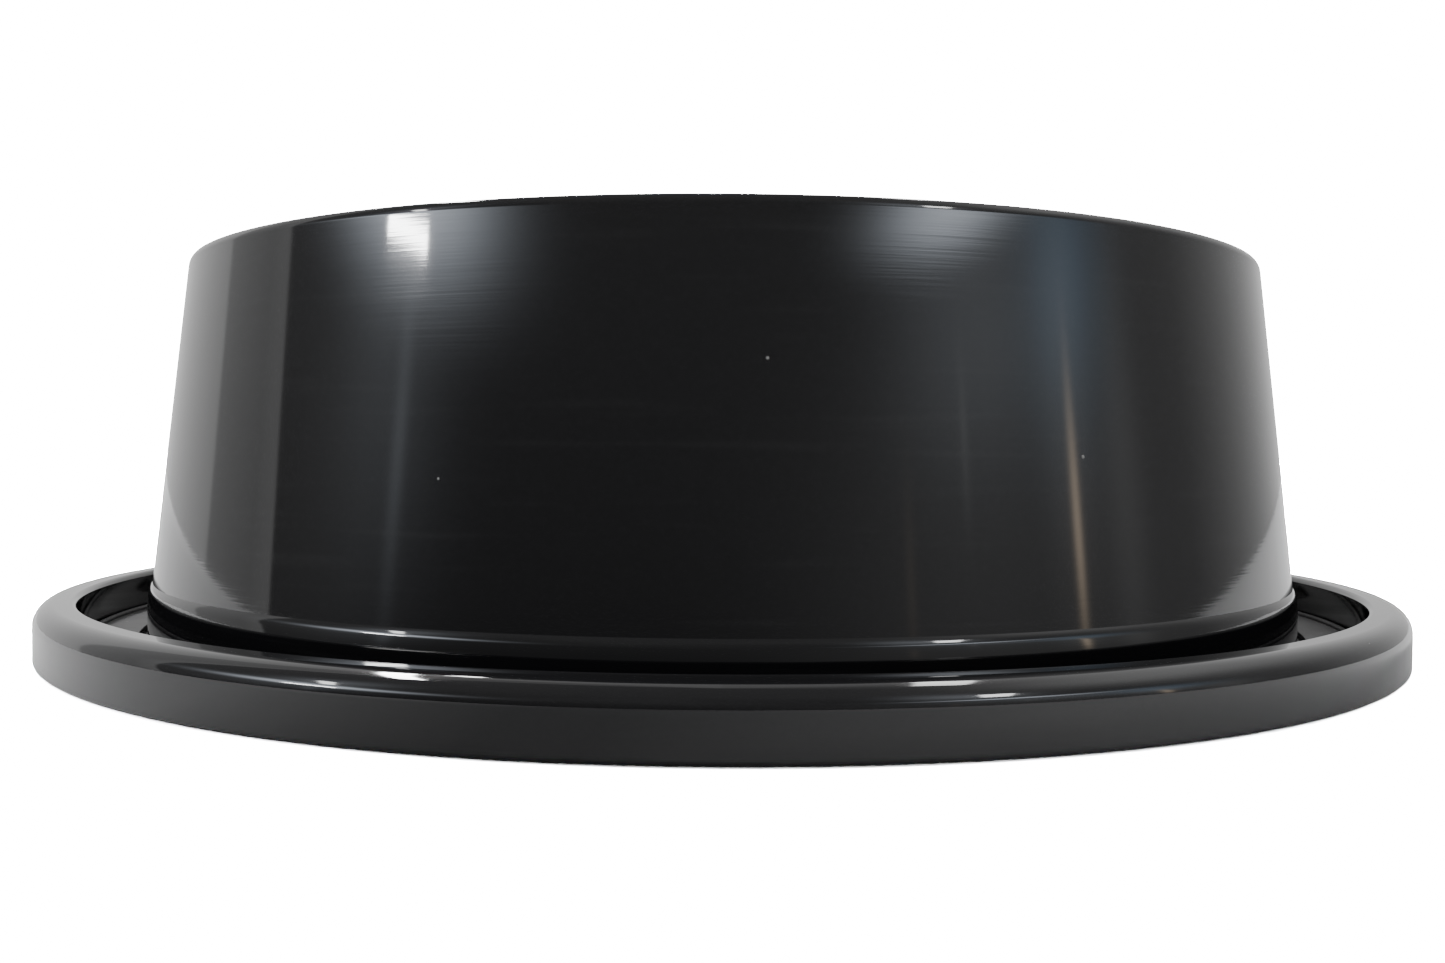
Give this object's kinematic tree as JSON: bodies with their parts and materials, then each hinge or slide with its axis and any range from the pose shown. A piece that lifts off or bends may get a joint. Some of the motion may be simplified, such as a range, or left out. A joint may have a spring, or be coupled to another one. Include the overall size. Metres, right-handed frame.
{
  "type": "garbage disposal splash guard collar",
  "caption": "Glossy black flanged collar with a tapered sleeve, an upstanding rim and bending rubber flaps that guard a disposal's throat.",
  "frame": {"origin": "centre of the flange's bottom face, on the collar's axis", "axes": "+Z along the collar's axis from the flange to the sleeve's end, the way waste travels; +X through the middle of the first flap; +Y completes the right-handed frame"},
  "size_m": [0.1955, 0.1954, 0.0531],
  "materials": {
    "collar_plastic": "mirror-gloss black, fine polishing lines round the axis",
    "seal_rubber": "matt black",
    "baffle_rubber": "satin black",
    "clamp_steel": "brushed round the axis",
    "screw_steel": "bright",
    "insert_brass": "knurled brass"
  },
  "bodies": {
    "collar": {"sleeve": "collar_plastic", "flange_plate": "collar_plastic", "rim_ring": "collar_plastic", "channel_seal": "seal_rubber", "sink_seal": "seal_rubber", "baffle_ring": "baffle_rubber", "retaining_ring": "clamp_steel", "retaining_screws": "screw_steel", "screw_inserts": "insert_brass"},
    "flap_01_body": {"flap_01": "baffle_rubber"},
    "flap_02_body": {"flap_02": "baffle_rubber"},
    "flap_03_body": {"flap_03": "baffle_rubber"},
    "flap_04_body": {"flap_04": "baffle_rubber"},
    "flap_05_body": {"flap_05": "baffle_rubber"},
    "flap_06_body": {"flap_06": "baffle_rubber"},
    "flap_07_body": {"flap_07": "baffle_rubber"},
    "flap_08_body": {"flap_08": "baffle_rubber"},
    "flap_09_body": {"flap_09": "baffle_rubber"},
    "flap_10_body": {"flap_10": "baffle_rubber"},
    "flap_11_body": {"flap_11": "baffle_rubber"},
    "flap_12_body": {"flap_12": "baffle_rubber"}
  },
  "joints": [
    {"name": "flap_01_bend", "type": "hinge", "parent": "collar", "child": "flap_01_body", "pos_m": [0.06, 0, 0.0466], "axis": [0, 1, 0], "range_deg": [-20, 70], "stiffness_Nm_per_rad": 0.05},
    {"name": "flap_02_bend", "type": "hinge", "parent": "collar", "child": "flap_02_body", "pos_m": [0.05196, 0.03, 0.0466], "axis": [-0.5, 0.866, 0], "range_deg": [-20, 70], "stiffness_Nm_per_rad": 0.05},
    {"name": "flap_03_bend", "type": "hinge", "parent": "collar", "child": "flap_03_body", "pos_m": [0.03, 0.05196, 0.0466], "axis": [-0.866, 0.5, 0], "range_deg": [-20, 70], "stiffness_Nm_per_rad": 0.05},
    {"name": "flap_04_bend", "type": "hinge", "parent": "collar", "child": "flap_04_body", "pos_m": [0, 0.06, 0.0466], "axis": [-1, 0, 0], "range_deg": [-20, 70], "stiffness_Nm_per_rad": 0.05},
    {"name": "flap_05_bend", "type": "hinge", "parent": "collar", "child": "flap_05_body", "pos_m": [-0.03, 0.05196, 0.0466], "axis": [-0.866, -0.5, 0], "range_deg": [-20, 70], "stiffness_Nm_per_rad": 0.05},
    {"name": "flap_06_bend", "type": "hinge", "parent": "collar", "child": "flap_06_body", "pos_m": [-0.05196, 0.03, 0.0466], "axis": [-0.5, -0.866, 0], "range_deg": [-20, 70], "stiffness_Nm_per_rad": 0.05},
    {"name": "flap_07_bend", "type": "hinge", "parent": "collar", "child": "flap_07_body", "pos_m": [-0.06, 0, 0.0466], "axis": [0, -1, 0], "range_deg": [-20, 70], "stiffness_Nm_per_rad": 0.05},
    {"name": "flap_08_bend", "type": "hinge", "parent": "collar", "child": "flap_08_body", "pos_m": [-0.05196, -0.03, 0.0466], "axis": [0.5, -0.866, 0], "range_deg": [-20, 70], "stiffness_Nm_per_rad": 0.05},
    {"name": "flap_09_bend", "type": "hinge", "parent": "collar", "child": "flap_09_body", "pos_m": [-0.03, -0.05196, 0.0466], "axis": [0.866, -0.5, 0], "range_deg": [-20, 70], "stiffness_Nm_per_rad": 0.05},
    {"name": "flap_10_bend", "type": "hinge", "parent": "collar", "child": "flap_10_body", "pos_m": [0, -0.06, 0.0466], "axis": [1, 0, 0], "range_deg": [-20, 70], "stiffness_Nm_per_rad": 0.05},
    {"name": "flap_11_bend", "type": "hinge", "parent": "collar", "child": "flap_11_body", "pos_m": [0.03, -0.05196, 0.0466], "axis": [0.866, 0.5, 0], "range_deg": [-20, 70], "stiffness_Nm_per_rad": 0.05},
    {"name": "flap_12_bend", "type": "hinge", "parent": "collar", "child": "flap_12_body", "pos_m": [0.05196, -0.03, 0.0466], "axis": [0.5, 0.866, 0], "range_deg": [-20, 70], "stiffness_Nm_per_rad": 0.05}
  ]
}
